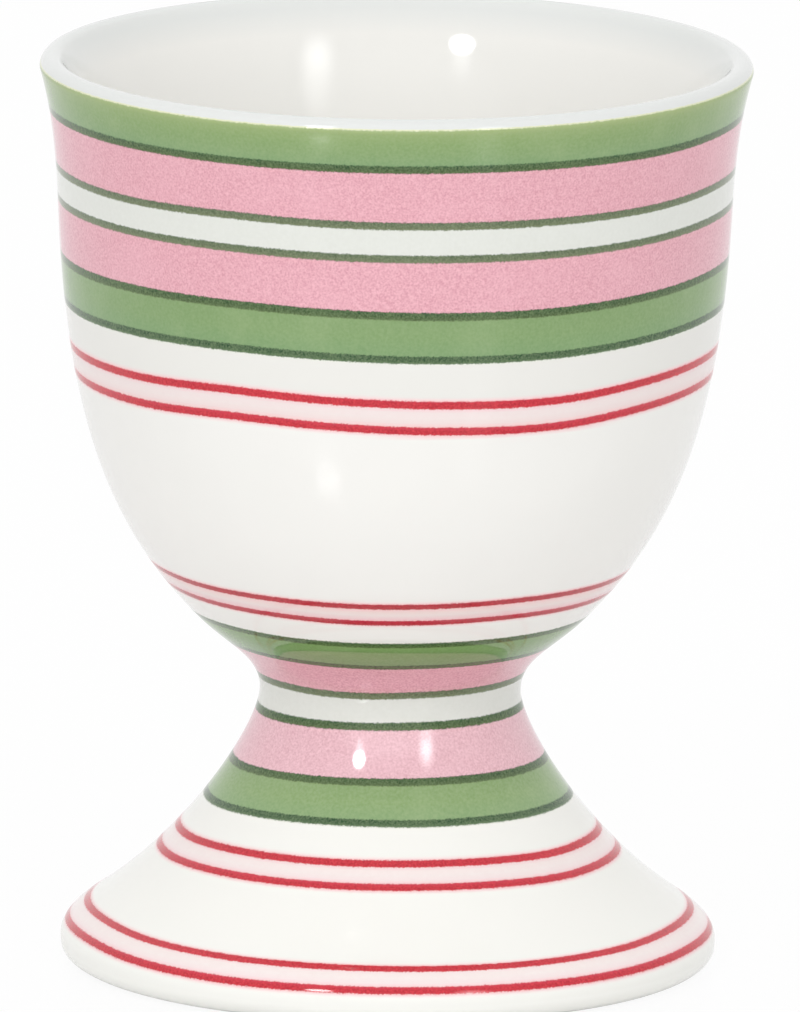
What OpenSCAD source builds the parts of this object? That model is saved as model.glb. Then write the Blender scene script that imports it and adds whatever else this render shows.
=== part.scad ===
// Footed egg cup of glazed porcelain with fired enamel bands.
// The cup stands on z = 0 with its axis on Z. The bowl and the foot are made apart and stuck
// together with slip just above the waist. Each painted band is a thin ring of enamel that lies
// flush in the outer surface.

/* [Rim] */
// Height of the cup, from the table to the top of the lip
cup_h = 64.5; // [63:0.1:68]
// Diameter of the rim at its widest
rim_d = 50; // [48.5:0.5:53]
// Thickness of the rounded lip
lip_t = 1.7; // [1.3:0.1:2.1]
// Lean of the wall where it meets the lip, in degrees from upright
rim_lean = 15.5; // [8:0.5:20]
// Lean of the egg hollow where it leaves the lip, in degrees from upright
mouth_lean = 36; // [30:1:40]

/* [Bowl] */
// Diameter of the bowl where its wall stands almost upright
wall_d = 47.2; // [45.5:0.1:48.2]
// Drop from the top of the lip to that place
wall_drop = 10.5; // [8:0.5:13]
// Lean of the wall there, in degrees from upright
wall_lean = 2.5; // [1:0.5:5]
// Thickness of the wall there
wall_t = 3.9; // [3.4:0.1:4.2]
// Lean of the egg hollow there, in degrees from upright
hollow_lean = 8; // [6:0.5:10]
// Thickness of the bowl low down, where it turns in to the waist
turn_t = 3.2; // [2.8:0.1:3.8]
// Rise from the waist to the place where the underside turns from hollow to full
turn_rise = 5.6; // [5:0.1:6.4]
// Reach from the waist out to that place
turn_reach = 4.65; // [4.2:0.05:5.2]
// Lean of the underside there, in degrees from upright
turn_lean = 44.5; // [40:0.5:48]
// Thickness of the bowl's floor above the slip joint
floor_t = 3.3; // [2.6:0.1:4]

/* [Waist] */
// Diameter of the waist at its narrowest
waist_d = 18.3; // [17.5:0.1:19.5]
// Height of the waist above the table
waist_h = 19.4; // [18.8:0.1:20.2]
// Rise from the waist to the joint of foot and bowl
joint_rise = 1.9; // [1.5:0.1:2.4]
// Thickness of the slip in the joint
slip_t = 0.4; // [0.3:0.1:0.8]

/* [Foot] */
// Diameter of the foot at its rounded edge
foot_d = 45.9; // [44.5:0.1:48]
// Height of the widest part of the rounded edge
edge_h = 1.3; // [1:0.1:1.7]
// Inset of the shoulder, where the edge gives way to the trumpet, from the widest line
shoulder_in = 1.95; // [1.5:0.05:2.4]
// Height of the shoulder
shoulder_h = 4.15; // [3.8:0.05:4.6]
// Lean of the trumpet at the shoulder, in degrees from upright
shoulder_lean = 56; // [52:0.5:59]
// Inset from the widest line to the flat ring that the cup stands on
ring_in = 1.75; // [1.3:0.05:2.1]
// Width of that ring
ring_w = 1.3; // [1:0.1:1.5]
// Thickness of the foot under the trumpet
foot_t = 3; // [2.5:0.1:3.5]
// Height of the hollow inside the foot
hollow_h = 15.6; // [14.5:0.1:17]

/* [Bands] */
// Thickness of the enamel, and so the depth of the seat that it lies in
enamel_t = 0.15; // [0.1:0.01:0.25]
// Width of a dark green line
line_w = 0.57; // [0.4:0.01:0.7]
// Width of a green band on the bowl
green_w = 2.67; // [2:0.01:2.9]
// Width of a pink band on the bowl
pink_w = 3.45; // [3:0.01:3.6]
// Width of the mint band on the bowl
mint_w = 1.88; // [1.4:0.01:2.1]
// Width of a red line on the bowl and the foot
red_w = 0.58; // [0.4:0.01:0.7]
// Width of the blush band between two of them
blush_w = 1.34; // [1.1:0.01:1.6]
// White left on the bowl between the dark green line and the red line
gap_w = 2.7; // [2.2:0.01:2.9]
// Width of a red line under the bowl
under_red_w = 0.5; // [0.4:0.01:0.6]
// Width of the blush band under the bowl
under_blush_w = 1.16; // [1:0.01:1.3]
// White left under the bowl between the red line and the dark green line
under_gap_w = 2.09; // [1.7:0.01:2.3]
// Width of the green band under the bowl
under_green_w = 2.5; // [2:0.01:2.6]
// Width of the pink band under the bowl
under_pink_w = 2.85; // [2.6:0.01:3.1]
// Width of the mint band round the waist
waist_mint_w = 1.75; // [1.4:0.01:2]
// Width of the pink band on the foot
foot_pink_w = 3.42; // [3:0.01:3.8]
// Width of the green band on the foot
foot_green_w = 2.6; // [2:0.01:2.8]
// White left on the foot between the dark green line and the red line
foot_gap_w = 2.54; // [2:0.01:2.9]
// Rise along the glaze from the rim's widest line to the top of the rim's green band
rim_set_up = 0.26; // [0:0.01:0.4]
// Rise along the glaze from the waist's narrowest line to the top of its mint band
waist_set_up = 1.21; // [1.05:0.01:1.4]
// Rise along the glaze from the foot's widest line to the lowest red line
edge_set_up = 0.92; // [0.6:0.01:1.2]

/* [Hidden] */
// How far each curve of the profile holds its direction at its lower and its upper end, as
// shares of the distance between the ends
edge_shares = [0.116, 0.811];
trumpet_shares = [0.435, 0.135];
waist_shares = [0.343, 0.398];
bowl_shares = [0.281, 0.506];
flare_shares = [0.482, 0.256];
mouth_shares = [0.3, 0.3];
hollow_shares = [0.3, 0.5];
// The same for the curves that close the two hollows, as shares of their radius
floor_shares = [0.19, 0.56];
dome_shares = [0.42, 0.42];
// Drop from the top of the foot's hollow to the height where its wall leaves the trumpet
dome_drop = 1.6;
// Radius of the small round at the inner edge of the ring underneath
ring_round = 0.5;
// Steps of a small round, a short curve and a long curve
arc_steps = 10;
short_steps = 12;
long_steps = 36;
// Overrun of a cut past the surface that it opens
over = 0.3;
$fn = 128;

lip_r = lip_t / 2;
rim_h = cup_h - lip_r;
joint_h = waist_h + joint_rise;
ring_r = foot_d / 2 - ring_in;
wall_h = cup_h - wall_drop;
green = [0.56, 0.68, 0.46];
dark = [0.33, 0.44, 0.31];
pink = [0.92, 0.71, 0.76];
mint = [0.87, 0.89, 0.85];
red = [0.78, 0.24, 0.30];
blush = [0.96, 0.90, 0.90];
white = [0.96, 0.96, 0.94];
biscuit = [0.90, 0.88, 0.84];

// Direction up a wall that leans outward by so many degrees, as [radius, height]
function lean(a) = [sin(a), cos(a)];
// Points of one cubic curve, without its last point
function curve(a, b, c, d, steps) =
    [for (i = [0 : steps - 1]) let (t = i / steps, u = 1 - t)
        u * u * u * a + 3 * u * u * t * b + 3 * u * t * t * c + t * t * t * d];
// The same between two points that are left and met at a lean, held over shares of the distance
function bend(a, a_lean, shares, b_lean, b, steps) =
    curve(a, a + shares[0] * norm(b - a) * lean(a_lean),
        b - shares[1] * norm(b - a) * lean(b_lean), b, steps);
// Points of a quarter of an ellipse or of part of a circle, without the last point
function arc(middle, size, from, to, steps) =
    [for (i = [0 : steps - 1]) let (a = from + (to - from) * i / steps)
        middle + [size.x * cos(a), size.y * sin(a)]];

// Places that the outer profile passes through
edge_at = [foot_d / 2, edge_h];
shoulder_at = [foot_d / 2 - shoulder_in, shoulder_h];
waist_at = [waist_d / 2, waist_h];
turn_at = waist_at + [turn_reach, turn_rise];
wall_at = [wall_d / 2, wall_h];
rim_at = [rim_d / 2, rim_h];

// The outer profile from the ring underneath, up the outside and over half of the lip
foot_part = concat(
    arc([ring_r, edge_h], [foot_d / 2 - ring_r, edge_h], -90, 0, arc_steps),
    bend(edge_at, 0, edge_shares, -shoulder_lean, shoulder_at, short_steps),
    bend(shoulder_at, -shoulder_lean, trumpet_shares, 0, waist_at, long_steps));
bowl_part = concat(
    bend(waist_at, 0, waist_shares, turn_lean, turn_at, short_steps * 2),
    bend(turn_at, turn_lean, bowl_shares, wall_lean, wall_at, long_steps),
    bend(wall_at, wall_lean, flare_shares, rim_lean, rim_at, short_steps * 2),
    arc(rim_at - [lip_r, 0], [lip_r, lip_r], 0, 90, arc_steps),
    [[rim_at.x - lip_r, cup_h]]);
outer = concat(foot_part, bowl_part);

// Length along the profile to each of its points, counted from the waist
steps_to = [for (i = 0, s = 0; i < len(outer);
    s = s + (i + 1 < len(outer) ? norm(outer[i + 1] - outer[i]) : 0), i = i + 1) s];
from_waist = [for (s = steps_to) s - steps_to[len(foot_part)]];
rim_s = from_waist[len(outer) - 1 - arc_steps];
edge_s = from_waist[arc_steps];
// Outward direction at each point, from its neighbours
function ahead(i) = outer[min(i + 1, len(outer) - 1)] - outer[max(i - 1, 0)];
outward = [for (i = [0 : len(outer) - 1]) let (d = ahead(i)) [d.y, -d.x] / norm(d)];

r_table = [for (i = [0 : len(outer) - 1]) [from_waist[i], outer[i].x]];
z_table = [for (i = [0 : len(outer) - 1]) [from_waist[i], outer[i].y]];
out_r_table = [for (i = [0 : len(outer) - 1]) [from_waist[i], outward[i].x]];
out_z_table = [for (i = [0 : len(outer) - 1]) [from_waist[i], outward[i].y]];
s_by_height = [for (i = [0 : len(outer) - 1]) [outer[i].y, from_waist[i]]];
// The point at length s along the profile, moved outward by off
function at(s, off) =
    [lookup(s, r_table) + off * lookup(s, out_r_table),
     lookup(s, z_table) + off * lookup(s, out_z_table)];
// Lengths along the profile from a to b, with every point of the profile between them
function stretch(a, b) = concat([a], [for (s = from_waist) if (s > a && s < b) s], [b]);
function reversed(list) = [for (i = [len(list) - 1 : -1 : 0]) list[i]];
// Outline of a coat that lies on the profile from a to b, between two depths
function coat(a, b, low, high) =
    concat([for (s = stretch(a, b)) at(s, high)], [for (s = reversed(stretch(a, b))) at(s, low)]);

// The sets of touching bands, each with the place of its top and, from the top down, the name,
// the colour and the width of each band
function total(widths) = len(widths) == 0 ? 0 : widths * [for (w = widths) 1];
function widths_of(bands) = [for (band = bands) band[2]];
rim_bands = [
    ["rim_green_band", green, green_w],
    ["rim_line", dark, line_w],
    ["upper_pink_band", pink, pink_w],
    ["upper_pink_line", dark, line_w],
    ["bowl_mint_band", mint, mint_w],
    ["lower_pink_line", dark, line_w],
    ["lower_pink_band", pink, pink_w],
    ["bowl_green_top_line", dark, line_w],
    ["bowl_green_band", green, green_w],
    ["bowl_green_low_line", dark, line_w],
];
waist_top_bands = [
    ["under_green_top_line", dark, line_w],
    ["under_green_band", green, under_green_w],
    ["under_green_low_line", dark, line_w],
    ["under_pink_band", pink, under_pink_w],
    ["waist_top_line", dark, line_w],
];
waist_low_bands = [
    ["waist_mint_band", mint, waist_mint_w],
    ["waist_low_line", dark, line_w],
    ["foot_pink_band", pink, foot_pink_w],
    ["foot_green_top_line", dark, line_w],
    ["foot_green_band", green, foot_green_w],
    ["foot_green_low_line", dark, line_w],
];
function red_bands(place, line, between) = [
    [str(place, "_red_top_line"), red, line],
    [str(place, "_blush_band"), blush, between],
    [str(place, "_red_low_line"), red, line],
];
bowl_reds = red_bands("bowl", red_w, blush_w);
under_reds = red_bands("under", under_red_w, under_blush_w);
foot_reds = red_bands("foot", red_w, blush_w);
edge_reds = red_bands("edge", red_w, blush_w);
rim_set = rim_s + rim_set_up;
waist_set = waist_set_up + total(widths_of(waist_top_bands));
SETS = [
    [rim_set, rim_bands],
    [rim_set - total(widths_of(rim_bands)) - gap_w, bowl_reds],
    [waist_set + under_gap_w + total(widths_of(under_reds)), under_reds],
    [waist_set, concat(waist_top_bands, waist_low_bands)],
    [waist_set_up - total(widths_of(waist_low_bands)) - foot_gap_w, foot_reds],
    [edge_s + edge_set_up + total(widths_of(edge_reds)), edge_reds],
];
// Each band's name, its colour, and the lengths at its low and at its top edge
function above(bands, i) = total([for (j = [0 : 1 : i - 1]) bands[j][2]]);
BANDS = [for (set = SETS) for (i = [0 : len(set[1]) - 1]) let (band = set[1][i])
    [band[0], band[1], set[0] - above(set[1], i) - band[2], set[0] - above(set[1], i)]];

// The egg hollow: it flares to the lip from the wall's thickness, and runs on down to the turn
egg_low = at(lookup(turn_at.y, s_by_height), -turn_t);
egg_middle = at(lookup(wall_h, s_by_height), -wall_t);
egg_mouth = rim_at - [lip_r + lip_r * cos(mouth_lean), -lip_r * sin(mouth_lean)];
egg_wall = reversed(concat(
    bend(egg_low, turn_lean, hollow_shares, hollow_lean, egg_middle, long_steps),
    bend(egg_middle, hollow_lean, mouth_shares, mouth_lean, egg_mouth, long_steps)));
floor_h = joint_h + slip_t + floor_t;
egg_floor = curve(egg_low, egg_low - floor_shares[0] * egg_low.x * lean(turn_lean),
    [floor_shares[1] * egg_low.x, floor_h], [0, floor_h], short_steps * 2);
lip_inside = concat(
    arc(rim_at - [lip_r, 0], [lip_r, lip_r], 90, 180 - mouth_lean, arc_steps), [egg_mouth]);
egg_hollow = concat(lip_inside, egg_wall, [for (i = [1 : len(egg_floor) - 1]) egg_floor[i]],
    [[0, floor_h]]);

// The foot's hollow: the trumpet set in by the foot's thickness, closed by a dome
shoulder_s = lookup(shoulder_h, s_by_height);
dome_s = lookup(hollow_h - dome_drop, s_by_height);
dome_low = at(dome_s, -foot_t);
dome_way = [-lookup(dome_s, out_z_table), lookup(dome_s, out_r_table)];
hollow_r = ring_r - ring_w;
trumpet_in = [for (s = stretch(shoulder_s, dome_s)) let (p = at(s, -foot_t))
    if (p.x < hollow_r - ring_round && p.y < dome_low.y) p];
foot_hollow = concat(
    [[0, 0], [hollow_r, 0]],
    arc([hollow_r, ring_round], [-ring_round, -ring_round], 90, 0, arc_steps),
    trumpet_in,
    curve(dome_low, dome_low + dome_shares[0] * dome_low.x * dome_way,
        [dome_shares[1] * dome_low.x, hollow_h], [0, hollow_h], short_steps * 2),
    [[0, hollow_h]]);

// The whole cup in section, without hollows
module solid_section() polygon(concat([[0, 0]], outer, [[0, cup_h]]));
// The seats that the enamel lies in
module seats() {
    for (set = SETS)
        polygon(coat(set[0] - total(widths_of(set[1])), set[0], -enamel_t, over));
}
// A slice of the plane between two heights
module slice(low, high) translate([0, low]) square([rim_d, high - low]);

module bowl() {
    color(white) rotate_extrude() difference() {
        intersection() {
            polygon(concat([[0, 0]], outer, egg_hollow));
            slice(joint_h + slip_t, cup_h + over);
        }
        seats();
    }
}
module foot() {
    color(white) rotate_extrude() difference() {
        intersection() {
            solid_section();
            slice(0, joint_h);
        }
        polygon(foot_hollow);
        seats();
    }
}
module slip_joint() {
    color(biscuit) rotate_extrude() difference() {
        intersection() {
            solid_section();
            slice(joint_h, joint_h + slip_t);
        }
        seats();
    }
}
// One band of enamel, filling its own stretch of the seat
module enamel_band(band) {
    color(band[1]) rotate_extrude() polygon(coat(band[2], band[3], -enamel_t, 0));
}

bowl();
slip_joint();
foot();
for (band = BANDS) enamel_band(band);
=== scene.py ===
"""The looks of the footed egg cup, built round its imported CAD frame.

Shapes are worked out in millimetres, as [radius, height] in section and as lengths along the
glaze counted from the waist, and become metres only where a mesh or a lamp is made.
"""

import math

import bpy
import numpy as np
from mathutils import Matrix, Vector

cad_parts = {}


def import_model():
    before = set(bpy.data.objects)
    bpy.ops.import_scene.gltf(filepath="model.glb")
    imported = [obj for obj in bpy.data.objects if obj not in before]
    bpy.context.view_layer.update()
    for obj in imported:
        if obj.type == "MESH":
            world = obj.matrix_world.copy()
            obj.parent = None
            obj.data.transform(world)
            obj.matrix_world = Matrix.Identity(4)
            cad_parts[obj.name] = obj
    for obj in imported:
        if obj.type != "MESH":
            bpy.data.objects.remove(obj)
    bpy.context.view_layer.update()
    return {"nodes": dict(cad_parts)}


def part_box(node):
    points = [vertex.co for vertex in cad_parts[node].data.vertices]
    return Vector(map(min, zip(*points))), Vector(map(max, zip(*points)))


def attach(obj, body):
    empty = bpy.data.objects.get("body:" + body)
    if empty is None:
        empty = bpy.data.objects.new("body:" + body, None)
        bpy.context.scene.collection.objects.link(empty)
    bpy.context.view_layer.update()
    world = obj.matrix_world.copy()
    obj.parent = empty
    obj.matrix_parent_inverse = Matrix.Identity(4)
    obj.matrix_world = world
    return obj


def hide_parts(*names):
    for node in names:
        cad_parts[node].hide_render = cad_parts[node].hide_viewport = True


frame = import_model()

MM = 0.001
TAU = 2 * math.pi


def corners(node):
    """The lowest and the highest corner of a CAD node, in millimetres."""
    low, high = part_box(node)
    return low / MM, high / MM


# Sizes that the frame gives
CUP_H = corners("bowl")[1].z
RIM_R = corners("bowl")[1].x
FOOT_R = corners("foot")[1].x
JOINT_LOW = corners("slip_joint")[0].z
JOINT_TOP = corners("slip_joint")[1].z

# Sizes of the section that no box shows, the same as in the part's source. A lean is in degrees
# outward from upright. The shares say how far a curve keeps its direction at each end, as shares
# of its span.
LIP_T = 1.7
RIM_LEAN = 15.5
WALL_R = 23.6
WALL_DROP = 10.5
WALL_LEAN = 2.5
WALL_T = 3.9
TURN_T = 3.2
MOUTH_LEAN = 36
HOLLOW_LEAN = 8
TURN_RISE = 5.6
TURN_REACH = 4.65
TURN_LEAN = 44.5
FLOOR_T = 3.3
WAIST_R = 9.15
WAIST_BELOW_JOINT = 1.9
EDGE_H = 1.3
SHOULDER_IN = 1.95
SHOULDER_H = 4.15
SHOULDER_LEAN = 56
RING_IN = 1.75
RING_W = 1.3
RING_ROUND = 0.5
FOOT_T = 3.0
HOLLOW_H = 15.6
DOME_DROP = 1.6
ENAMEL_T = 0.15
EDGE_SHARES = (0.116, 0.811)
TRUMPET_SHARES = (0.435, 0.135)
WAIST_SHARES = (0.343, 0.398)
BOWL_SHARES = (0.281, 0.506)
FLARE_SHARES = (0.482, 0.256)
MOUTH_SHARES = (0.3, 0.3)
HOLLOW_SHARES = (0.3, 0.5)
FLOOR_SHARES = (0.19, 0.56)
DOME_SHARES = (0.42, 0.42)

# How finely the meshes are cut: points of a curve, of a small round and of a smaller one, length
# of a row and the most degrees that it turns through, digits that tell two rows apart, sides of
# the porcelain, radius left to the cap on the axis, length of a band's sides and least number of
# its rows, and the angle in degrees from which an edge shows as sharp
CURVE_POINTS = 400
ROUND_POINTS = 20
RING_POINTS = 10
ROW = 0.6
ROW_TURN = 5
ROW_DIGITS = 3
PORCELAIN_SIDES = 320
CAP_R = 0.4
BAND_SIDE = 0.15
BAND_ROWS = 3
SHARP = 40

# The enamel: how far it stands proud, how far its free edge dips under the glaze, the length of
# that ramp, how deep its back lies, and how far a free edge runs on past the paint
PROUD = 0.012
DIP = 0.005
RAMP = 0.15
BACK = 0.08
MARGIN = 0.12
# The grain of a painted edge: how far it strays, its shortest and its longest wave, and how many
# waves make it up. Then the seed of all the grain, and how many seeds an edge picks its own from.
GRAIN = 0.008
GRAIN_SHORT = 0.38
GRAIN_LONG = 1.5
GRAIN_WAVES = 14
SEED = 7
SEEDS = 1 << 30
# The pink bloom that the red enamel leaves in the glaze beside it: its reach, how many times that
# reach its rows cover, and the rows on each side
BLOOM = 0.17
BLOOM_COVER = 3
BLOOM_ROWS = 5

# How far painted edges wander up or down, in millimetres, at stops every SWAY_STEP degrees from
# SWAY_START, counted from the front, which lies at FRONT; round the back they run on evenly
FRONT = -90
SWAY_START = -70
SWAY_STEP = 20
# The sets of touching bands: the sways, spread evenly from the top edge to the low edge, and, from
# the top down, each CAD node with the kind of its enamel. Where a set ends in a kind whose last
# word is red, the glaze beside that edge gets a pink bloom.
SETS = [
    ([
        (-0.05, -0.05, -0.05, -0.05, -0.05, -0.05, -0.05, -0.05),
        (-0.04, -0.03, 0.0, -0.02, -0.04, -0.11, -0.16, -0.02),
        (-0.16, -0.15, -0.01, -0.12, -0.18, -0.23, -0.22, -0.04),
        (0.06, 0.11, 0.13, 0.03, -0.05, -0.09, 0.0, 0.13),
        (-0.07, 0.01, 0.1, -0.02, -0.19, -0.22, -0.05, 0.14),
        (0.01, 0.11, 0.19, 0.08, -0.08, -0.1, 0.07, 0.23),
    ], [
        ("rim_green_band", "rim green"),
        ("rim_line", "dark_green"),
        ("upper_pink_band", "pink"),
        ("upper_pink_line", "soft dark_green"),
        ("bowl_mint_band", "mint"),
        ("lower_pink_line", "soft dark_green"),
        ("lower_pink_band", "pink"),
        ("bowl_green_top_line", "dark_green"),
        ("bowl_green_band", "green"),
        ("bowl_green_low_line", "fading dark_green"),
    ]),
    ([(0.08, 0.14, 0.35, 0.12, -0.12, -0.2, 0.17, 0.36)], [
        ("bowl_red_top_line", "red"),
        ("bowl_blush_band", "blush"),
        ("bowl_red_low_line", "red"),
    ]),
    ([
        (0.33, 0.15, 0.06, -0.04, -0.01, 0.08, 0.03, -0.02),
        (0.26, 0.13, 0.03, -0.12, -0.07, 0.01, -0.05, -0.12),
    ], [
        # painted shade: the bands under the bowl take enamels darkened for the shade that falls
        # there
        ("under_red_top_line", "shaded red"),
        ("under_blush_band", "deep blush"),
        ("under_red_low_line", "shaded red"),
    ]),
    ([
        (0.03, 0.03, -0.1, -0.12, -0.08, -0.05, -0.07, -0.08),
        (0.04, 0.03, -0.07, -0.11, -0.04, -0.02, -0.04, -0.03),
        (-0.16, -0.15, -0.2, -0.17, -0.05, -0.04, -0.01, 0.03),
        (-0.41, -0.32, -0.2, -0.09, -0.06, -0.07, -0.09, -0.09),
        (-0.45, -0.33, -0.2, -0.11, -0.08, -0.08, -0.13, -0.16),
        (-0.38, -0.23, -0.1, -0.02, -0.04, -0.06, -0.13, -0.12),
    ], [
        ("under_green_top_line", "dark_green"),
        # painted shade: the green band under the bowl is darkened for the shade there
        ("under_green_band", "deep green"),
        ("under_green_low_line", "dark_green"),
        ("under_pink_band", "pink"),
        ("waist_top_line", "soft dark_green"),
        ("waist_mint_band", "mint"),
        ("waist_low_line", "dark_green"),
        ("foot_pink_band", "pale pink"),
        ("foot_green_top_line", "dark_green"),
        ("foot_green_band", "pale green"),
        ("foot_green_low_line", "fading dark_green"),
    ]),
    ([
        (-0.31, -0.19, -0.12, -0.08, -0.07, -0.16, -0.31, -0.24),
        (-0.25, -0.16, -0.1, -0.06, -0.06, -0.17, -0.32, -0.26),
    ], [
        ("foot_red_top_line", "red"),
        ("foot_blush_band", "pale blush"),
        ("foot_red_low_line", "red"),
    ]),
    ([
        (0.43, 0.15, 0.01, -0.03, -0.09, -0.1, -0.01, 0.24),
        (0.53, 0.24, 0.09, 0.09, 0.08, 0.04, 0.07, 0.25),
    ], [
        ("edge_red_top_line", "red"),
        ("edge_blush_band", "pale blush"),
        ("edge_red_low_line", "red"),
    ]),
]


# The section

def lean(degrees):
    """Direction up a wall that leans outward by so many degrees."""
    a = math.radians(degrees)
    return np.array([math.sin(a), math.cos(a)])


def curve(a, b, c, d):
    """Points of one cubic curve."""
    t = np.linspace(0, 1, CURVE_POINTS)[:, None]
    u = 1 - t
    return u ** 3 * a + 3 * u * u * t * b + 3 * u * t * t * c + t ** 3 * d


def bend(a, a_lean, shares, b_lean, b):
    """A curve between two places that are left and met at a lean."""
    reach = np.linalg.norm(b - a)
    return curve(
        a, a + shares[0] * reach * lean(a_lean), b - shares[1] * reach * lean(b_lean), b
    )


def arc(middle, radius, start, end, points=ROUND_POINTS):
    """Points of part of a circle, from one angle in degrees to another."""
    a = np.radians(np.linspace(start, end, points))
    return np.array(middle) + radius * np.stack([np.cos(a), np.sin(a)], 1)


LIP_R = LIP_T / 2
RING_R = FOOT_R - RING_IN
waist_h = JOINT_LOW - WAIST_BELOW_JOINT
edge_at = np.array([FOOT_R, EDGE_H])
shoulder_at = np.array([FOOT_R - SHOULDER_IN, SHOULDER_H])
waist_at = np.array([WAIST_R, waist_h])
turn_at = waist_at + [TURN_REACH, TURN_RISE]
wall_at = np.array([WALL_R, CUP_H - WALL_DROP])
rim_at = np.array([RIM_R, CUP_H - LIP_R])
lip_middle = rim_at - [LIP_R, 0]


def outer_glaze():
    """The outer profile from the ring underneath to the top of the lip: points, lengths along it
    from the waist, and outward directions."""
    points = np.concatenate([
        foot_edge(),
        bend(edge_at, 0, EDGE_SHARES, -SHOULDER_LEAN, shoulder_at)[1:],
        bend(shoulder_at, -SHOULDER_LEAN, TRUMPET_SHARES, 0, waist_at)[1:],
        bend(waist_at, 0, WAIST_SHARES, TURN_LEAN, turn_at)[1:],
        bend(turn_at, TURN_LEAN, BOWL_SHARES, WALL_LEAN, wall_at)[1:],
        bend(wall_at, WALL_LEAN, FLARE_SHARES, RIM_LEAN, rim_at)[1:],
        arc(lip_middle, LIP_R, 0, 90)[1:],
    ])
    steps = np.linalg.norm(np.diff(points, axis=0), axis=1)
    s = np.concatenate([[0], np.cumsum(steps)])
    s -= s[np.argmin(np.linalg.norm(points - waist_at, axis=1))]
    ahead = np.gradient(points, axis=0)
    ahead /= np.linalg.norm(ahead, axis=1)[:, None]
    return points, s, np.stack([ahead[:, 1], -ahead[:, 0]], 1)


def foot_edge():
    """The rounded edge of the foot, a quarter of an ellipse from the ring to the widest line."""
    return [RING_R, EDGE_H] + arc([0, 0], 1, -90, 0) * [FOOT_R - RING_R, EDGE_H]


outer, outer_s, outward = outer_glaze()


def at(s, lift=0.0):
    """Radius and height at length s along the outer glaze, moved outward by lift."""
    out = [np.interp(s, outer_s, outward[:, i]) for i in (0, 1)]
    return [np.interp(s, outer_s, outer[:, i]) + lift * out[i] for i in (0, 1)]


def length_at(height):
    """Length along the outer glaze at a height."""
    return np.interp(height, outer[:, 1], outer_s)


def band_edges(node):
    """Lengths along the glaze at a CAD band's low and top edge, from the points of its mesh that
    lie on the outer surface."""
    points = np.array([v.co for v in frame["nodes"][node].data.vertices]) / MM
    radius = np.hypot(points[:, 0], points[:, 1])
    on_face = radius > np.interp(points[:, 2], outer[:, 1], outer[:, 0]) - ENAMEL_T / 4
    s = length_at(points[on_face, 2])
    return s.min(), s.max()


# Meshes

def rows_needed(points):
    """How many rows a line of points needs up to each point, by its length and its turning."""
    steps = np.diff(points, axis=0)
    angles = np.unwrap(np.arctan2(steps[:, 1], steps[:, 0]))
    turning = np.degrees(np.abs(np.diff(angles, prepend=angles[0])))
    return np.concatenate(
        [[0], np.cumsum(np.linalg.norm(steps, axis=1) / ROW + turning / ROW_TURN)]
    )


outer_needed = rows_needed(outer)


def even(needed, values):
    """Values at even steps of the rows needed, with both ends kept."""
    stops = np.linspace(needed[0], needed[-1], math.ceil(needed[-1] - needed[0]) + 1)
    return np.interp(stops, needed, values)


def spaced(a, b):
    """Lengths of the rows of the outer glaze from a to b."""
    inside = np.sort(np.append(outer_s[(outer_s > a) & (outer_s < b)], [a, b]))
    return even(np.interp(inside, outer_s, outer_needed), inside)


def thinned(points):
    """A line of points cut to the rows that it needs."""
    needed = rows_needed(points)
    return np.stack([even(needed, points[:, i]) for i in (0, 1)], 1)


def sides_of(sides):
    """The angle of each side round the cup."""
    return TAU * np.arange(sides) / sides


def turned(name, radius, height, ring, facts):
    """A closed mesh turned about Z, from one row for each point of the section and one column for
    each side. A ring joins its last row to its first; any other section is capped at the axis.
    The facts are numbers that each point of the mesh keeps for its material."""
    rows, sides = radius.shape
    turn = sides_of(sides)
    points = np.stack([radius * np.cos(turn), radius * np.sin(turn), height], -1)
    row, side = np.meshgrid(
        np.arange(rows if ring else rows - 1), np.arange(sides), indexing="ij"
    )
    up, on = (row + 1) % rows, (side + 1) % sides
    quads = np.stack(
        [row * sides + side, row * sides + on, up * sides + on, up * sides + side], -1
    )
    faces = quads.reshape(-1, 4).tolist()
    if not ring:
        faces.append(list(range(sides))[::-1])
        faces.append(list(range((rows - 1) * sides, rows * sides)))
    mesh = bpy.data.meshes.new(name)
    mesh.from_pydata((points.reshape(-1, 3) * MM).tolist(), [], faces)
    for fact, values in facts.items():
        attribute = mesh.attributes.new(fact, "FLOAT", "POINT")
        attribute.data.foreach_set("value", values.astype(np.float32).ravel())
    mesh.polygons.foreach_set("use_smooth", [True] * len(mesh.polygons))
    mesh.set_sharp_from_angle(angle=math.radians(SHARP))
    piece = bpy.data.objects.new(name, mesh)
    bpy.context.scene.collection.objects.link(piece)
    return piece


def wander(turn, sway):
    """Slow wander of a painted edge, a smooth line through its stops."""
    count = round(360 / SWAY_STEP)
    back = np.linspace(sway[-1], sway[0], count - len(sway) + 2)[1:-1]
    stops = np.concatenate([sway, back])
    place = (np.degrees(turn) - FRONT - SWAY_START) / SWAY_STEP % count
    first = np.floor(place).astype(int)
    f = place - first
    a, b, c, d = (stops[(first + k) % count] for k in (-1, 0, 1, 2))
    return b + f / 2 * (c - a + f * (2 * a - 5 * b + 4 * c - d + f * (3 * (b - c) + d - a)))


def grain(turn, radius, dice):
    """Fine unevenness of a painted edge."""
    wave = np.zeros_like(turn)
    for _ in range(GRAIN_WAVES):
        count = round(TAU * radius / dice.uniform(GRAIN_SHORT, GRAIN_LONG))
        wave += np.sin(count * turn + dice.uniform(0, TAU))
    return GRAIN * wave * math.sqrt(2 / GRAIN_WAVES)


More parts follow.
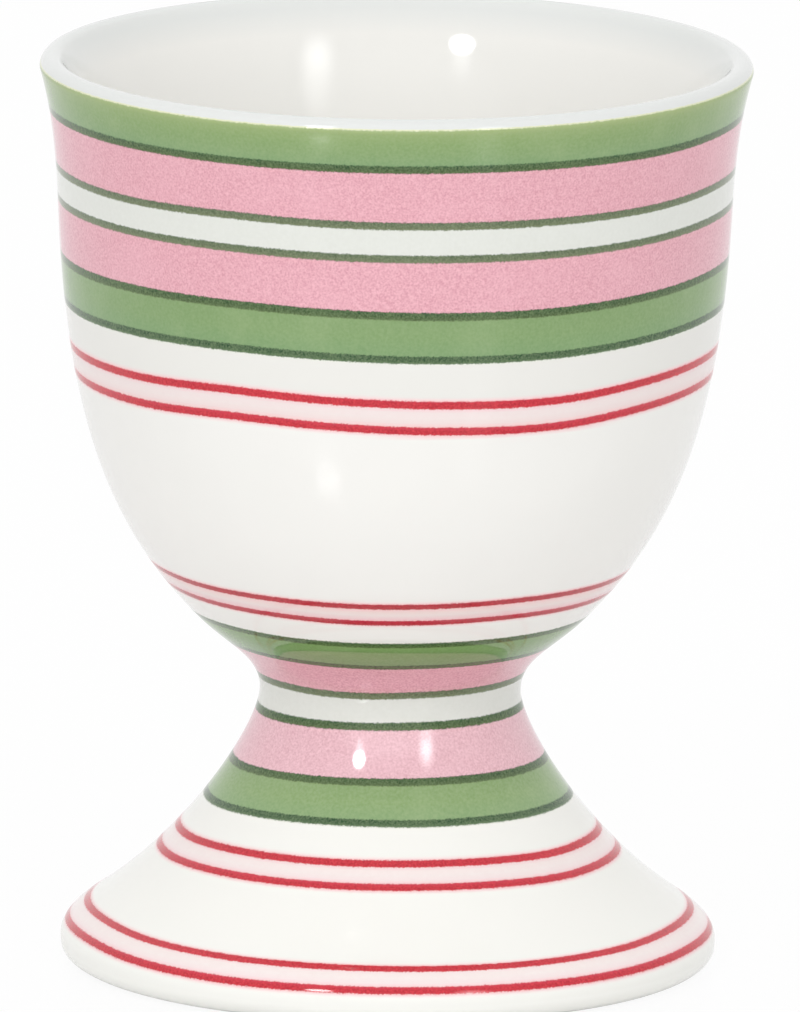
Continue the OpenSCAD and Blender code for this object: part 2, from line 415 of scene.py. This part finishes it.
def painted_edges(bands, sways, dice):
    """For a set of touching bands, a function for each edge from the top down that gives its
    length along the glaze at each side."""
    places = [band_edges(node) for node, _ in bands]
    stops = [places[0][1]] + [(a[0] + b[1]) / 2 for a, b in zip(places, places[1:])]
    stops.append(places[-1][0])
    edges = []
    for s in stops:
        seed = dice.integers(SEEDS)
        share = (stops[0] - s) / (stops[0] - stops[-1]) * (len(sways) - 1)
        sway = [np.interp(share, range(len(sways)), each) for each in zip(*sways)]

        def edge(turn, s=s, seed=seed, sway=sway):
            own = np.random.default_rng(seed)
            return s + wander(turn, sway) + grain(turn, at(s)[0], own)

        edges.append(edge)
    return edges


def enamel_ring(node, low, top, free_low, free_top):
    """One band as a thin closed ring that lies in the glaze and stands a little proud of it. A
    free edge runs on a little past the paint, in the white of the glaze."""
    middle = sum(band_edges(node)) / 2
    turn = sides_of(round(TAU * at(middle)[0] / BAND_SIDE))
    s_low, s_top = low(turn) - MARGIN * free_low, top(turn) + MARGIN * free_top
    width = (s_top - s_low).mean()
    shares = (spaced(s_low.mean(), s_top.mean()) - s_low.mean()) / width
    if len(shares) < BAND_ROWS:
        shares = np.linspace(0, 1, BAND_ROWS)
    ramps = [RAMP / width] * free_low + [1 - RAMP / width] * free_top
    shares = np.sort(np.append(shares, ramps))
    lifts = np.full_like(shares, PROUD)
    lifts[0] -= (PROUD + DIP) * free_low
    lifts[-1] -= (PROUD + DIP) * free_top
    across = np.concatenate([shares, shares[::-1]])[:, None]
    lifts = np.concatenate([lifts, np.full_like(shares, -BACK)])
    rows = [at(s_low + share * (s_top - s_low), lift) for share, lift in zip(across, lifts)]
    facts = {"up": across * (s_top - s_low), "down": (1 - across) * (s_top - s_low)}
    radius, height = (np.array([row[i] for row in rows]) for i in (0, 1))
    return turned(node + "_enamel", radius, height, True, facts)


def bloom_at(s, turn, edges):
    """How strongly the pink bloom shows at a length s, from the red edges beside it."""
    strength = np.zeros_like(s)
    for edge in edges:
        strength = np.maximum(strength, np.exp(-(((s - edge(turn)) / BLOOM) ** 2)))
    return strength


def porcelain_rows(low_s, top_s, edges):
    """Lengths of the rows of a stretch of glaze, closer together beside the red lines."""
    rows = [spaced(low_s, top_s)]
    for edge in edges:
        s = edge(np.zeros(1))[0]
        if low_s < s < top_s:
            rows.append(s + np.linspace(-BLOOM_COVER, BLOOM_COVER, 2 * BLOOM_ROWS + 1) * BLOOM)
    rows = np.unique(np.round(np.concatenate(rows), ROW_DIGITS))
    return rows[(rows >= low_s) & (rows <= top_s)]


def porcelain(name, before, low_s, top_s, after, edges):
    """A porcelain piece from the plain points of its section before and after the painted glaze
    and the glaze between two lengths."""
    turn = sides_of(PORCELAIN_SIDES)
    s = porcelain_rows(low_s, top_s, edges)
    glaze = np.stack(at(s), 1)
    section = np.concatenate([before, glaze, after])
    bloom = np.zeros((len(section), len(turn)))
    for i, length in enumerate(s):
        bloom[len(before) + i] = bloom_at(np.full_like(turn, length), turn, edges)
    radius, height = (np.repeat(section[:, i : i + 1], len(turn), 1) for i in (0, 1))
    # the rows outside the painted glaze, inside the cup and the foot, are marked for painted shade
    inner = np.ones_like(bloom)
    inner[len(before) : len(before) + len(s)] = 0
    return turned(name, radius, height, False, {"bloom": bloom, "inner": inner})


def egg_hollow():
    """The inside of the bowl from the lip down to the axis."""
    floor_h = JOINT_TOP + FLOOR_T
    low = np.array(at(length_at(turn_at[1]), -TURN_T))
    middle = np.array(at(length_at(wall_at[1]), -WALL_T))
    lip = arc(lip_middle, LIP_R, 90, 180 - MOUTH_LEAN)
    wall = np.concatenate([
        bend(low, TURN_LEAN, HOLLOW_SHARES, HOLLOW_LEAN, middle),
        bend(middle, HOLLOW_LEAN, MOUTH_SHARES, MOUTH_LEAN, lip[-1])[1:],
    ])
    floor = curve(
        low,
        low - FLOOR_SHARES[0] * low[0] * lean(TURN_LEAN),
        np.array([FLOOR_SHARES[1] * low[0], floor_h]),
        np.array([CAP_R, floor_h]),
    )
    return thinned(np.concatenate([lip, wall[::-1][1:], floor[1:]]))[1:]


def foot_hollow():
    """The inside of the foot from the axis down to the ring that it stands on."""
    hollow_r = RING_R - RING_W
    s = np.linspace(length_at(HOLLOW_H - DOME_DROP), length_at(SHOULDER_H), CURVE_POINTS)
    trumpet = np.stack(at(s, -FOOT_T), 1)
    low, ahead = trumpet[0], trumpet[0] - trumpet[1]
    ahead /= np.linalg.norm(ahead)
    dome = curve(
        np.array([CAP_R, HOLLOW_H]),
        np.array([DOME_SHARES[1] * low[0], HOLLOW_H]),
        low + DOME_SHARES[0] * low[0] * ahead,
        low,
    )
    inside = thinned(np.concatenate([dome, trumpet[1:]]))
    inside = inside[(inside[:, 0] < hollow_r - RING_ROUND) & (inside[:, 1] > RING_ROUND)]
    ring = arc([hollow_r, RING_ROUND], RING_ROUND, 180, 270, RING_POINTS)
    return np.concatenate([inside, ring])


# Materials

def paint(r, g, b):
    """A colour as it shows, 0 to 255, made linear for a shader."""
    shown = [v / 255 for v in (r, g, b)]
    return tuple(v / 12.92 if v < 0.04045 else ((v + 0.055) / 1.055) ** 2.4 for v in shown) + (1,)


# Sockets of a node that mixes colours: its two colours and its result
MIX_A = 6
MIX_B = 7
MIX_RESULT = 2


class Tree:
    """A node tree under construction, with short names for the nodes that it uses."""

    def __init__(self, owner, output):
        owner.use_nodes = True
        self.owner = owner
        self.tree = owner.node_tree
        self.tree.nodes.clear()
        self.output = self.tree.nodes.new("ShaderNodeOutput" + output)

    def node(self, kind, settings=None, **inputs):
        """A node with its settings and its inputs, each a value or another node's output."""
        node = self.tree.nodes.new("ShaderNode" + kind)
        for key, value in (settings or {}).items():
            setattr(node, key, value)
        for key, value in inputs.items():
            self.feed(node.inputs[key.replace("_", " ")], value)
        return node

    def feed(self, socket, value):
        """Sets a socket to a value or links it to an output."""
        if isinstance(value, bpy.types.NodeSocket):
            self.tree.links.new(value, socket)
        else:
            socket.default_value = value

    def fact(self, name):
        """A number stored on the mesh."""
        return self.node("Attribute", {"attribute_name": name}).outputs["Fac"]

    def noise(self, size, detail=2.0):
        """Noise whose lumps are about a size in millimetres across."""
        place = self.node("TexCoord").outputs["Object"]
        scaled = self.node("Mapping", Vector=place, Scale=[1 / MM / size] * 3)
        return self.node(
            "TexNoise", Vector=scaled.outputs[0], Scale=1.0, Detail=detail
        ).outputs["Fac"]

    def ramp(self, value, stops):
        """A colour picked from stops of (place, colour)."""
        node = self.node("ValToRGB", Fac=value)
        elements = node.color_ramp.elements
        while len(elements) < len(stops):
            elements.new(0.5)
        for element, (place, colour) in zip(elements, stops):
            element.position = place
            element.color = colour
        return node.outputs["Color"]

    def blend(self, share, a, b):
        """Colour a mixed with colour b by a share."""
        node = self.node("Mix", {"data_type": "RGBA"})
        self.feed(node.inputs["Factor"], share)
        self.feed(node.inputs[MIX_A], a)
        self.feed(node.inputs[MIX_B], b)
        return node.outputs[MIX_RESULT]

    def remap(self, value, low, high, to_low, to_high):
        """A number carried from one range to another."""
        node = self.node("MapRange", Value=value)
        for name, number in zip(
            ("From Min", "From Max", "To Min", "To Max"), (low, high, to_low, to_high)
        ):
            node.inputs[name].default_value = number
        return node.outputs[0]

    def math(self, operation, a, b):
        """Two numbers put together by an operation."""
        node = self.node("Math", {"operation": operation})
        self.feed(node.inputs[0], a)
        self.feed(node.inputs[1], b)
        return node.outputs[0]

    def mixed(self, share, a, b):
        """Shader a mixed with shader b by a share."""
        node = self.node("MixShader", Fac=share)
        self.feed(node.inputs[1], a)
        self.feed(node.inputs[2], b)
        return node.outputs[0]

    def background_share(self, mirrored=1.0):
        """1 for a camera ray and a share for a ray off or through a surface, which show the
        background, and 0 for the rays that only carry light."""
        rays = self.node("LightPath").outputs
        others = self.math("MAXIMUM", rays["Is Glossy Ray"], rays["Is Transmission Ray"])
        return self.math("MAXIMUM", rays["Is Camera Ray"], self.math("MULTIPLY", others, mirrored))

    def end(self, shader):
        """Ends the tree in a shader and gives back what it belongs to."""
        self.feed(self.output.inputs["Surface"], shader)
        return self.owner

    def glossy(self, colour, roughness, ior):
        """Ends the material in a glazed surface of a colour."""
        surface = self.node("BsdfPrincipled", Base_Color=colour, Roughness=roughness, IOR=ior)
        return self.end(surface.outputs[0])


def finish_named(name):
    """An empty tree of a new material."""
    return Tree(bpy.data.materials.new(name), "Material")


# The parts of its range that noise is spread over, for clouds and specks, for grit and for slip
NOISE = (0.3, 0.7)
GRIT_NOISE = (0.25, 0.75)
SLIP_NOISE = (0.4, 0.7)

GLAZE_IOR = 1.5
GLAZE_ROUGH = 0.04
# The two whites of the glaze, which change in clouds, and the size of these
GLAZE_WHITES = (paint(243, 242, 238), paint(245, 244, 240))
GLAZE_CLOUD_SIZE = 9.0
# The greyer white above the blush band of the bowl; a brighter white below the waist's mint band,
# painted light on the upward-facing foot; and a darker white inside the cup and the foot, painted
# shade in their hollows
UPPER_WHITE = paint(236, 235, 230)
FOOT_LIGHT_WHITE = paint(247, 247, 242)
INNER_SHADE_WHITE = paint(240, 239, 235)
# The glaze over the lip is painted cooler and a little darker, as painted shade on the lip's
# upward-facing top: its colour there, and the heights where it sets in and is full
LIP_SHADE = paint(227, 229, 227)
LIP_SHADE_STARTS = CUP_H - 2.5
LIP_SHADE_FULL = CUP_H - 0.8
BLOOM_PINK = paint(250, 208, 210)
# The ring that the cup stands on: its colour, and the heights where that begins to give way to the
# glaze and where it ends
BISCUIT = paint(226, 219, 206)
BARE_FULL = 0.02
BARE_ENDS = 0.1

# An enamel: softness of a painted edge, size and detail of the grit in it and how far that shifts
# it, and the size and strength of the slow clouds
SOFT = 0.045
GRIT_SIZE = 0.12
GRIT_DETAIL = 3.0
GRIT = 0.06
CLOUD_SIZE = 4.0
CLOUD_SHARE = 0.2
ENAMEL_ROUGH = 0.06
ENAMEL_IOR = 1.68

SLIP_DARK = paint(214, 205, 190)
SLIP_SPECK_SIZE = 0.6
SLIP_ROUGH = 0.8


def porcelain_glaze():
    """Clear glaze over white porcelain, with a pink bloom beside the red lines and a bare biscuit
    ring underneath."""
    finish = finish_named("porcelain_glaze")
    cloud = finish.remap(finish.noise(GLAZE_CLOUD_SIZE), *NOISE, 0, 1)
    white = finish.blend(cloud, *GLAZE_WHITES)
    place = finish.node("SeparateXYZ", Vector=finish.node("TexCoord").outputs["Object"])
    height = place.outputs["Z"]
    blush_low, blush_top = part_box("bowl_blush_band")
    upper = finish.remap(height, blush_low.z, blush_top.z, 0, 1)
    white = finish.blend(upper, white, UPPER_WHITE)
    # painted light: the foot below the mint band is painted brighter, for the extra light that
    # falls on it
    mint_low, mint_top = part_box("waist_mint_band")
    lower = finish.remap(height, mint_top.z, mint_low.z, 0, 1)
    white = finish.blend(lower, white, FOOT_LIGHT_WHITE)
    # painted shade inside the cup and the foot
    white = finish.blend(finish.fact("inner"), white, INNER_SHADE_WHITE)
    bloomed = finish.blend(finish.fact("bloom"), white, BLOOM_PINK)
    # painted shade over the lip, from where it sets in to where it is full
    lip = finish.remap(height, LIP_SHADE_STARTS * MM, LIP_SHADE_FULL * MM, 0, 1)
    bare = finish.remap(height, BARE_FULL * MM, BARE_ENDS * MM, 1, 0)
    colour = finish.blend(bare, finish.blend(lip, bloomed, LIP_SHADE), BISCUIT)
    return finish.glossy(colour, GLAZE_ROUGH, GLAZE_IOR)


def enamel(node, kind, above, below, width):
    """A fired enamel: its colour changes across the band, fine specks lie in it, and at each edge
    it gives way grain by grain to the colour beside it."""
    stops, speck, speck_size, speck_share = ENAMELS[kind]
    finish = finish_named(node + "_finish")
    up, down = finish.fact("up"), finish.fact("down")
    colour = finish.ramp(finish.remap(up, 0, width, 0, 1), stops)
    specks = finish.remap(finish.noise(speck_size), *NOISE, 0, speck_share)
    colour = finish.blend(specks, colour, speck)
    cloud = finish.remap(finish.noise(CLOUD_SIZE), *NOISE, -CLOUD_SHARE, CLOUD_SHARE)
    colour = finish.blend(cloud, colour, speck)
    grit = finish.remap(finish.noise(GRIT_SIZE, GRIT_DETAIL), *GRIT_NOISE, -GRIT, GRIT)
    for edge, other, turn, stop in ((down, above, -1, 0), (up, below, 1, -1)):
        margin = MARGIN if other is None else 0
        other_colour = GLAZE_BESIDE[kind] if other is None else ENAMELS[other][0][stop][1]
        place = finish.math("ADD", edge, finish.math("MULTIPLY", grit, turn))
        own = finish.remap(place, margin - SOFT, margin + SOFT, 0, 1)
        colour = finish.blend(own, other_colour, colour)
    return finish.glossy(colour, ENAMEL_ROUGH, ENAMEL_IORS.get(kind, ENAMEL_IOR))


def slip_finish():
    """Dull fired slip, out of sight in the joint."""
    finish = finish_named("fired_slip")
    specks = finish.remap(finish.noise(SLIP_SPECK_SIZE), *SLIP_NOISE, 0, 1)
    return finish.glossy(finish.blend(specks, BISCUIT, SLIP_DARK), SLIP_ROUGH, GLAZE_IOR)


# Each enamel: its colours across the band from the low edge up, then the colour of its specks,
# their size in millimetres and how much they show
ENAMELS = {
    "rim green": (
        [(0.0, paint(118, 155, 100)), (0.3, paint(124, 157, 96)), (0.6, paint(129, 160, 94)),
         (0.85, paint(140, 166, 100)), (1.0, paint(158, 176, 112))],
        paint(160, 182, 130), 0.2, 0.3,
    ),
    "green": (
        [(0.0, paint(116, 154, 98)), (0.5, paint(121, 155, 94)), (1.0, paint(120, 153, 92))],
        paint(154, 178, 126), 0.2, 0.3,
    ),
    # painted shade: the green under the bowl, darkened for the shade there
    "deep green": (
        [(0.0, paint(107, 146, 90)), (0.5, paint(112, 149, 86)), (1.0, paint(116, 150, 86))],
        paint(146, 172, 118), 0.2, 0.3,
    ),
    "pale green": (
        [(0.0, paint(128, 163, 106)), (0.5, paint(130, 162, 98)), (1.0, paint(124, 156, 92))],
        paint(160, 184, 134), 0.2, 0.4,
    ),
    "dark_green": (
        [(0.0, paint(70, 88, 42)), (0.35, paint(44, 72, 22)), (0.75, paint(14, 64, 20)),
         (1.0, paint(8, 72, 34))],
        paint(98, 122, 76), 0.14, 1.0,
    ),
    "fading dark_green": (
        [(0.0, paint(110, 132, 98)), (0.35, paint(72, 102, 64)), (0.6, paint(24, 70, 28)),
         (1.0, paint(0, 62, 24))],
        paint(104, 128, 88), 0.14, 0.9,
    ),
    "soft dark_green": (
        [(0.0, paint(100, 112, 70)), (0.35, paint(80, 94, 54)), (0.75, paint(60, 84, 44)),
         (1.0, paint(54, 84, 48))],
        paint(120, 134, 98), 0.14, 0.8,
    ),
    "pink": (
        [(0.0, paint(216, 149, 162)), (1.0, paint(216, 149, 162))],
        paint(242, 184, 196), 0.15, 1.0,
    ),
    "pale pink": (
        [(0.0, paint(221, 165, 176)), (1.0, paint(221, 165, 176))],
        paint(245, 197, 207), 0.16, 1.0,
    ),
    "mint": (
        [(0.0, paint(224, 226, 219)), (1.0, paint(224, 226, 219))],
        paint(231, 233, 227), 0.3, 0.5,
    ),
    "red": (
        [(0.0, paint(200, 44, 52)), (0.25, paint(181, 12, 34)), (0.75, paint(181, 12, 38)),
         (1.0, paint(194, 46, 70))],
        paint(220, 52, 66), 0.14, 0.9,
    ),
    # painted shade: the red under the bowl, darkened for the shade there
    "shaded red": (
        [(0.0, paint(184, 44, 52)), (0.25, paint(162, 26, 38)), (0.75, paint(162, 26, 40)),
         (1.0, paint(180, 46, 66))],
        paint(204, 56, 68), 0.14, 0.8,
    ),
    "blush": (
        [(0.0, paint(248, 196, 196)), (0.22, paint(242, 222, 220)), (0.5, paint(242, 229, 226)),
         (0.8, paint(242, 226, 225)), (1.0, paint(248, 206, 210))],
        paint(240, 222, 220), 0.4, 0.4,
    ),
    # painted shade: the blush under the bowl, darkened for the shade there
    "deep blush": (
        [(0.0, paint(246, 178, 186)), (0.22, paint(238, 206, 208)), (0.5, paint(240, 224, 222)),
         (0.8, paint(243, 216, 213)), (1.0, paint(248, 196, 198))],
        paint(240, 218, 216), 0.4, 0.4,
    ),
    "pale blush": (
        [(0.0, paint(248, 196, 200)), (0.2, paint(247, 229, 229)), (0.5, paint(247, 236, 233)),
         (0.8, paint(247, 232, 230)), (1.0, paint(248, 206, 210))],
        paint(243, 226, 224), 0.4, 0.4,
    ),
}
# Enamels that gleam more or less than the others
ENAMEL_IORS = {
    "dark_green": 1.5, "fading dark_green": 1.5, "red": 1.5, "shaded red": 1.5, "pale pink": 1.95
}
# The glaze beside a set that ends in each enamel
GLAZE_BESIDE = {
    "rim green": paint(228, 231, 196), "dark_green": paint(238, 239, 230),
    "fading dark_green": paint(238, 239, 230), "red": BLOOM_PINK, "shaded red": BLOOM_PINK,
}


def dress(piece, node, material):
    """Finishes a piece that stands for a CAD node."""
    piece.data.materials.append(material)
    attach(piece, "root")
    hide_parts(node)


def build_cup():
    """Makes every visible piece of the cup."""
    dice = np.random.default_rng(SEED)
    red_edges = []
    for sways, bands in SETS:
        edges = painted_edges(bands, sways, dice)
        for i, (node, kind) in enumerate(bands):
            above = bands[i - 1][1] if i > 0 else None
            below = bands[i + 1][1] if i + 1 < len(bands) else None
            piece = enamel_ring(node, edges[i + 1], edges[i], below is None, above is None)
            low, top = band_edges(node)
            material = enamel(node, kind, above, below, top - low)
            dress(piece, node, material)
        if bands[0][1].endswith("red"):
            red_edges.append(edges[0])
        if bands[-1][1].endswith("red"):
            red_edges.append(edges[-1])
    glaze = porcelain_glaze()
    joint_disc = np.array([[CAP_R, JOINT_TOP]])
    bowl = porcelain(
        "bowl_porcelain", joint_disc, length_at(JOINT_TOP), outer_s[-1], egg_hollow(), red_edges
    )
    dress(bowl, "bowl", glaze)
    foot = porcelain(
        "foot_porcelain", foot_hollow(), outer_s[0], length_at(JOINT_LOW),
        np.array([[CAP_R, JOINT_LOW]]), red_edges,
    )
    dress(foot, "foot", glaze)
    frame["nodes"]["slip_joint"].material_slots[0].material = slip_finish()


# Floor, light and camera

WHITE = (1, 1, 1, 1)
FLOOR_R = 5000
FLOOR_SIDES = 96
FLOOR_PALE = paint(246, 246, 246)
FLOOR_ROUGH = 0.12
FLOOR_IOR = 2.5
# How much of the floor shows as plain white to the camera, and how much of that is left where the
# glaze mirrors it; the rest is its own surface, with the shadow and the lamps in it
FLOOR_SHOWS_WHITE = 0.92
FLOOR_MIRRORED_SHARE = 0.5


def floor():
    """A plain pale floor, nearly white to the camera, with the cup's shadow on it. It can be
    looked through from below, and is open under the foot, so that light comes in there."""
    turn = sides_of(FLOOR_SIDES)
    rings = [RING_R * MM, FLOOR_R * MM]
    points = [(r * math.cos(a), r * math.sin(a), 0) for r in rings for a in turn]
    faces = []
    for i in range(FLOOR_SIDES):
        j = (i + 1) % FLOOR_SIDES
        faces.append((i, FLOOR_SIDES + i, FLOOR_SIDES + j, j))
    mesh = bpy.data.meshes.new("floor")
    mesh.from_pydata(points, [], faces)
    piece = bpy.data.objects.new("floor", mesh)
    bpy.context.scene.collection.objects.link(piece)
    finish = finish_named("pale_floor")
    surface = finish.node(
        "BsdfPrincipled", Base_Color=FLOOR_PALE, Roughness=FLOOR_ROUGH, IOR=FLOOR_IOR
    )
    white = finish.node("Emission", Color=WHITE, Strength=1.0)
    seen = finish.math(
        "MULTIPLY", finish.background_share(FLOOR_MIRRORED_SHARE), FLOOR_SHOWS_WHITE
    )
    shown = finish.mixed(seen, surface.outputs[0], white.outputs[0])
    below = finish.node("NewGeometry").outputs["Backfacing"]
    clear = finish.node("BsdfTransparent").outputs[0]
    mesh.materials.append(finish.end(finish.mixed(below, shown, clear)))


LAMP_AWAY = 1500
# Watts for each square metre of a lamp at a glow of 1
LAMP_WATTS = 4
# The middle of a lamp, where places on it run from 0 to 1 each way
LAMP_HALF = 0.5
# Each lamp: direction from the front, height over the horizon, width and height in degrees, glow,
# and how far in from its edge the light fades, as a share of its half width
LAMPS = {
    "left_core": (-27.5, 39.2, 9.5, 8.5, 16.0, 0.3),
    "left_tail": (-27, 34, 9, 15, 2.0, 0.8),
    "right_core": (33, 34, 12.5, 17, 2.2, 0.9),
    "right_tail": (33, 30, 16, 30, 1.7, 0.6),
    "front_panel": (-4, 22, 90, 44, 0.45, 0.5),
}


def lamp(name, azimuth, elevation, width, height, glow, fading):
    """A softbox that faces the middle of the cup, bright in its middle and dark at its edge."""
    data = bpy.data.lights.new(name, "AREA")
    data.shape = "RECTANGLE"
    reach = LAMP_AWAY * MM
    data.size = 2 * reach * math.tan(math.radians(width / 2))
    data.size_y = 2 * reach * math.tan(math.radians(height / 2))
    data.energy = glow * data.size * data.size_y * LAMP_WATTS
    light = Tree(data, "Light")
    across = light.node("VectorMath", {"operation": "DISTANCE"})
    light.feed(across.inputs[0], light.node("NewGeometry").outputs["Parametric"])
    across.inputs[1].default_value = (LAMP_HALF, LAMP_HALF, 0)
    fade = light.remap(across.outputs["Value"], LAMP_HALF, LAMP_HALF * (1 - fading), 0, 1)
    light.end(light.node("Emission", Strength=fade).outputs[0])
    piece = bpy.data.objects.new(name, data)
    a, e = math.radians(azimuth), math.radians(elevation)
    way = Vector((math.sin(a) * math.cos(e), -math.cos(a) * math.cos(e), math.sin(e)))
    middle = Vector((0, 0, CUP_H / 2 * MM))
    piece.matrix_world = Matrix.Translation(middle + way * reach) @ (
        way.to_track_quat("Z", "Y").to_matrix().to_4x4()
    )
    piece.visible_camera = False
    bpy.context.scene.collection.objects.link(piece)


# Glow of the surround straight up and down and, near the horizon, on each side of the cup, and
# the power that narrows a side
SKY_TOP = 1.0
SKY_SIDES = {"front": 1.0, "back": 0.9, "left": 0.74, "right": 0.58}
SIDE_WAYS = {"front": ("Y", -1), "back": ("Y", 1), "left": ("X", -1), "right": ("X", 1)}
SIDE_POWER = 2


def world():
    """A white surround: plain white to the camera and in the glaze, and dimmer on some sides for
    the light that it gives."""
    room = bpy.data.worlds.new("white_room")
    bpy.context.scene.world = room
    light = Tree(room, "World")
    way = light.node("SeparateXYZ", Vector=light.node("TexCoord").outputs["Generated"])
    rise = light.math("ABSOLUTE", way.outputs["Z"], 0)
    low = light.math("SUBTRACT", 1, rise)
    glow = light.math("MULTIPLY", rise, SKY_TOP)
    for side, (axis, turn) in SIDE_WAYS.items():
        facing = light.math("MAXIMUM", light.math("MULTIPLY", way.outputs[axis], turn), 0)
        share = light.math("MULTIPLY", light.math("POWER", facing, SIDE_POWER), low)
        glow = light.math("ADD", glow, light.math("MULTIPLY", share, SKY_SIDES[side]))
    fill = light.node("Background", Color=WHITE, Strength=glow)
    seen = light.node("Background", Color=WHITE, Strength=1.0)
    light.end(light.mixed(light.background_share(), fill.outputs[0], seen.outputs[0]))


# The camera: distance, tilt down, height and side step of its target, roll, and the scale of the
# picture there in pixels per millimetre
CAMERA_AWAY = 2500
CAMERA_TILT = 11.303
TARGET_H = 32.41
TARGET_X = 0.55
CAMERA_ROLL = 0.6
PICTURE_SCALE = 14.2676
PICTURE_LONG = 1012
SENSOR = 36


def camera():
    """The camera at the photograph's place."""
    data = bpy.data.cameras.new("camera")
    data.sensor_width = SENSOR
    data.lens = PICTURE_SCALE * CAMERA_AWAY * SENSOR / PICTURE_LONG
    tilt, roll = math.radians(CAMERA_TILT), math.radians(CAMERA_ROLL)
    back = Vector((0, -math.cos(tilt), math.sin(tilt)))
    right, up = Vector((1, 0, 0)), Vector((0, math.sin(tilt), math.cos(tilt)))
    rolled_right = right * math.cos(roll) + up * math.sin(roll)
    rolled_up = up * math.cos(roll) - right * math.sin(roll)
    place = (Vector((TARGET_X, 0, TARGET_H)) + back * CAMERA_AWAY) * MM
    turn = Matrix((rolled_right, rolled_up, back)).transposed().to_4x4()
    piece = bpy.data.objects.new("camera", data)
    piece.matrix_world = Matrix.Translation(place) @ turn
    bpy.context.scene.collection.objects.link(piece)
    bpy.context.scene.camera = piece


build_cup()
floor()
for lamp_name, facts in LAMPS.items():
    lamp(lamp_name, *facts)
world()
camera()
bpy.context.scene.view_settings.view_transform = "Standard"
